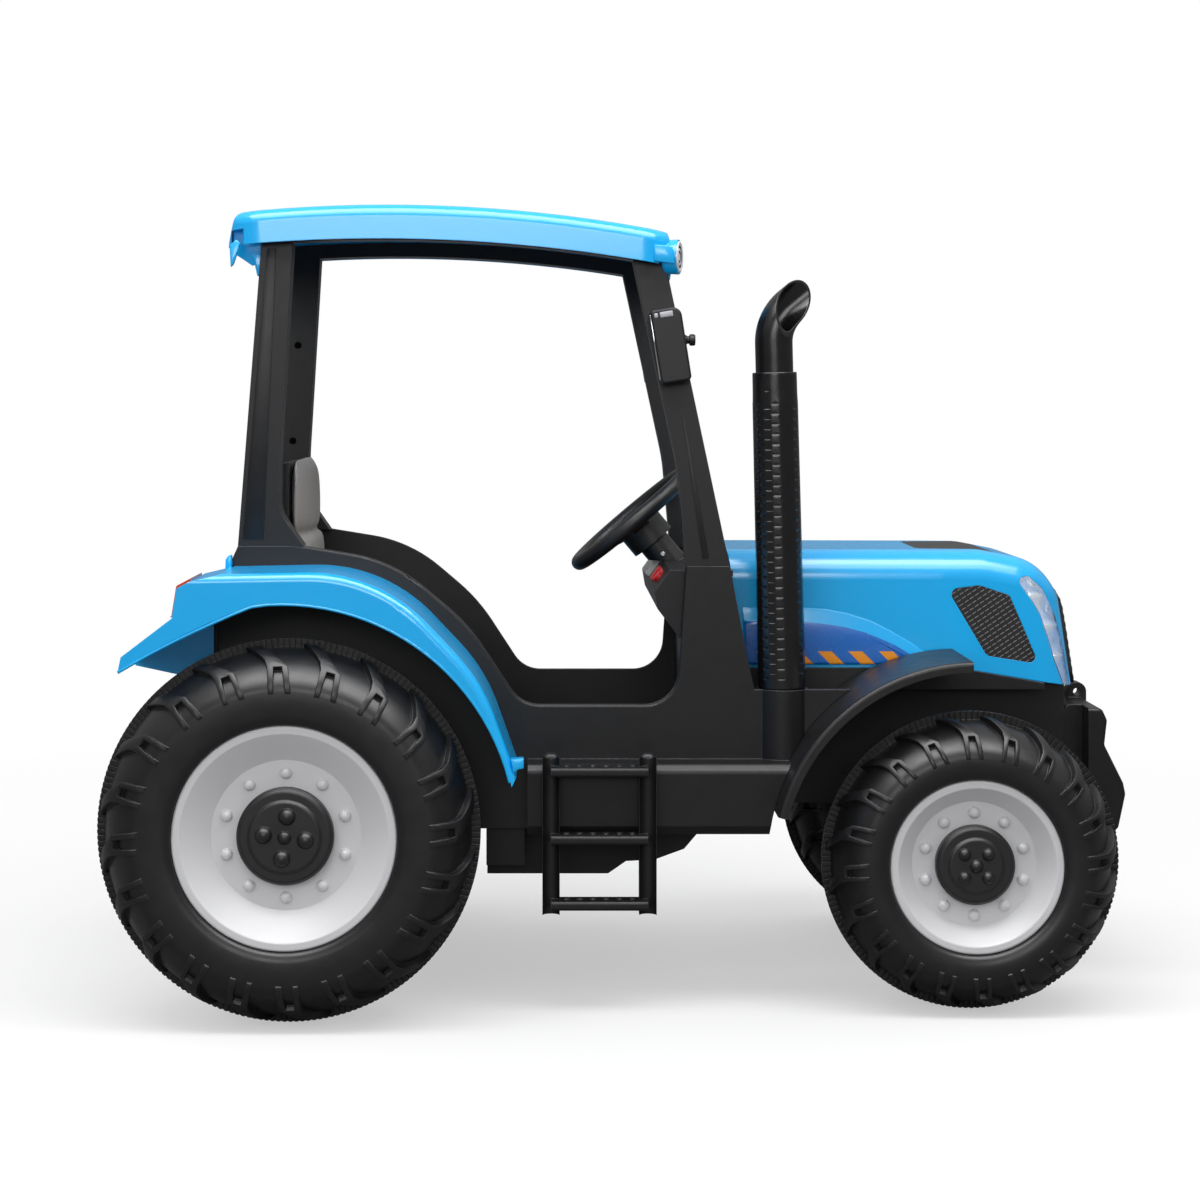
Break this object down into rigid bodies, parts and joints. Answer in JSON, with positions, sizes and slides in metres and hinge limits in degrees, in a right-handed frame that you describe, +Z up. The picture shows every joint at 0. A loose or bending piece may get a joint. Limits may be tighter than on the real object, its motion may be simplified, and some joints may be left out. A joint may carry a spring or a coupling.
{
  "type": "ride-on tractor",
  "caption": "Ride-on toy tractor with an open cab, padded seat, lugged tyres, a steering linkage, a hood with grilles and headlights, step ladders and an exhaust stack.",
  "frame": {"origin": "on the ground below the middle of the bounding box", "axes": "+X forward, +Y to the driver's left, +Z up"},
  "size_m": [1.3338, 0.8, 1.0302],
  "materials": {
    "blue_plastic": "moulded gloss",
    "black_plastic": "satin",
    "tyre": "satin",
    "rim_white": "satin",
    "seat_pad": "padded cover, fine grain",
    "clear_lens": "clear",
    "reflector": "bright",
    "lamp_white": "gloss",
    "tail_lens": "gloss",
    "silver_panel": "satin",
    "red_control": "gloss",
    "steel": "plated",
    "inner_plastic": "matt"
  },
  "bodies": {
    "chassis": {"hood": "blue_plastic", "roof_shell": "blue_plastic", "left_rear_fender": "blue_plastic", "right_rear_fender": "blue_plastic", "floor_pan": "black_plastic", "left_side_panel": "black_plastic", "right_side_panel": "black_plastic", "rear_bulkhead": "black_plastic", "dash_panel": "black_plastic", "nose_frame": "black_plastic", "front_bumper": "black_plastic", "left_front_fender": "black_plastic", "right_front_fender": "black_plastic", "left_cab_frame": "black_plastic", "right_cab_frame": "black_plastic", "exhaust_sleeve": "black_plastic", "exhaust_pipe": "black_plastic", "left_step_ladder": "black_plastic", "right_step_ladder": "black_plastic", "column_cover": "black_plastic", "hood_grilles": "black_plastic", "front_grille": "black_plastic", "seat_shell": "black_plastic", "seat_cushion": "seat_pad", "back_cushion": "seat_pad", "headlight_lenses": "clear_lens", "headlight_reflectors": "reflector", "roof_lamps": "lamp_white", "tail_lamps": "tail_lens", "player_panel": "silver_panel", "rear_axle": "steel", "axle_nuts": "steel", "front_axle_beam": "steel", "drive_motors": "steel", "gearboxes": "inner_plastic", "battery_pack": "inner_plastic", "control_box": "inner_plastic"},
    "steering": {"steering_wheel": "black_plastic", "steering_shaft": "steel"},
    "horn": {"horn_button": "black_plastic"},
    "left_knuckle": {"left_knuckle": "steel"},
    "right_knuckle": {"right_knuckle": "steel"},
    "tie_rod": {"tie_rod": "steel"},
    "pedal": {"accelerator_pedal": "black_plastic"},
    "direction_switch": {"direction_switch": "red_control"},
    "start_button": {"start_button": "red_control"},
    "left_mirror": {"left_mirror": "black_plastic"},
    "right_mirror": {"right_mirror": "black_plastic"},
    "left_rear_wheel": {"left_rear_tyre": "tyre", "left_rear_rim": "rim_white", "left_rear_hub_cap": "black_plastic"},
    "left_front_wheel": {"left_front_tyre": "tyre", "left_front_rim": "rim_white", "left_front_hub_cap": "black_plastic"},
    "right_rear_wheel": {"right_rear_tyre": "tyre", "right_rear_rim": "rim_white", "right_rear_hub_cap": "black_plastic"},
    "right_front_wheel": {"right_front_tyre": "tyre", "right_front_rim": "rim_white", "right_front_hub_cap": "black_plastic"}
  },
  "joints": [
    {"name": "steering_turn", "type": "hinge", "parent": "chassis", "child": "steering", "pos_m": [0.015, 0, 0.615], "axis": [-0.6428, 0, 0.766], "range_deg": [-36, 36]},
    {"name": "horn_press", "type": "slide", "parent": "steering", "child": "horn", "axis": [0.6428, 0, -0.766], "range_m": [0, 0.0025], "stiffness_N_per_m": 600, "springref_m": -0.002},
    {"name": "left_steer", "type": "hinge", "parent": "chassis", "child": "left_knuckle", "pos_m": [0.437, 0.172, 0.221], "axis": [0, 0, 1], "range_deg": [-24.48, 24.48]},
    {"name": "right_steer", "type": "hinge", "parent": "chassis", "child": "right_knuckle", "pos_m": [0.437, -0.172, 0.221], "axis": [0, 0, 1], "range_deg": [-24.48, 24.48]},
    {"name": "tie_rod_turn", "type": "hinge", "parent": "left_knuckle", "child": "tie_rod", "pos_m": [0.372, 0.172, 0.176], "axis": [0, 0, 1], "range_deg": [-24.48, 24.48]},
    {"name": "left_rear_spin", "type": "hinge", "parent": "chassis", "child": "left_rear_wheel", "pos_m": [-0.427, 0.325, 0.24], "axis": [0, 1, 0], "continuous": true},
    {"name": "left_front_spin", "type": "hinge", "parent": "left_knuckle", "child": "left_front_wheel", "pos_m": [0.437, 0.256, 0.19], "axis": [0, 1, 0], "continuous": true},
    {"name": "right_rear_spin", "type": "hinge", "parent": "chassis", "child": "right_rear_wheel", "pos_m": [-0.427, -0.325, 0.24], "axis": [0, 1, 0], "continuous": true},
    {"name": "right_front_spin", "type": "hinge", "parent": "right_knuckle", "child": "right_front_wheel", "pos_m": [0.437, -0.256, 0.19], "axis": [0, 1, 0], "continuous": true},
    {"name": "pedal_press", "type": "hinge", "parent": "chassis", "child": "pedal", "pos_m": [0.015, -0.095, 0.244], "axis": [0, 1, 0], "range_deg": [0, 12], "stiffness_Nm_per_rad": 6, "springref_deg": -8.59},
    {"name": "direction_rock", "type": "hinge", "parent": "chassis", "child": "direction_switch", "pos_m": [0.04892, -0.084, 0.54], "axis": [0, 1, 0], "range_deg": [-8, 8]},
    {"name": "start_press", "type": "slide", "parent": "chassis", "child": "start_button", "axis": [0.8106, 0, -0.5856], "range_m": [0, 0.0025], "stiffness_N_per_m": 600, "springref_m": -0.002},
    {"name": "left_mirror_turn", "type": "hinge", "parent": "chassis", "child": "left_mirror", "pos_m": [0.055, 0.215, 0.848], "axis": [0, 1, 0], "range_deg": [-15, 15]},
    {"name": "right_mirror_turn", "type": "hinge", "parent": "chassis", "child": "right_mirror", "pos_m": [0.055, -0.215, 0.848], "axis": [0, 1, 0], "range_deg": [-15, 15]}
  ],
  "couplings": [
    {"joint": "left_steer", "follows": "steering_turn", "ratio": 0.68},
    {"joint": "right_steer", "follows": "steering_turn", "ratio": 0.68},
    {"joint": "tie_rod_turn", "follows": "steering_turn", "ratio": -0.68}
  ]
}
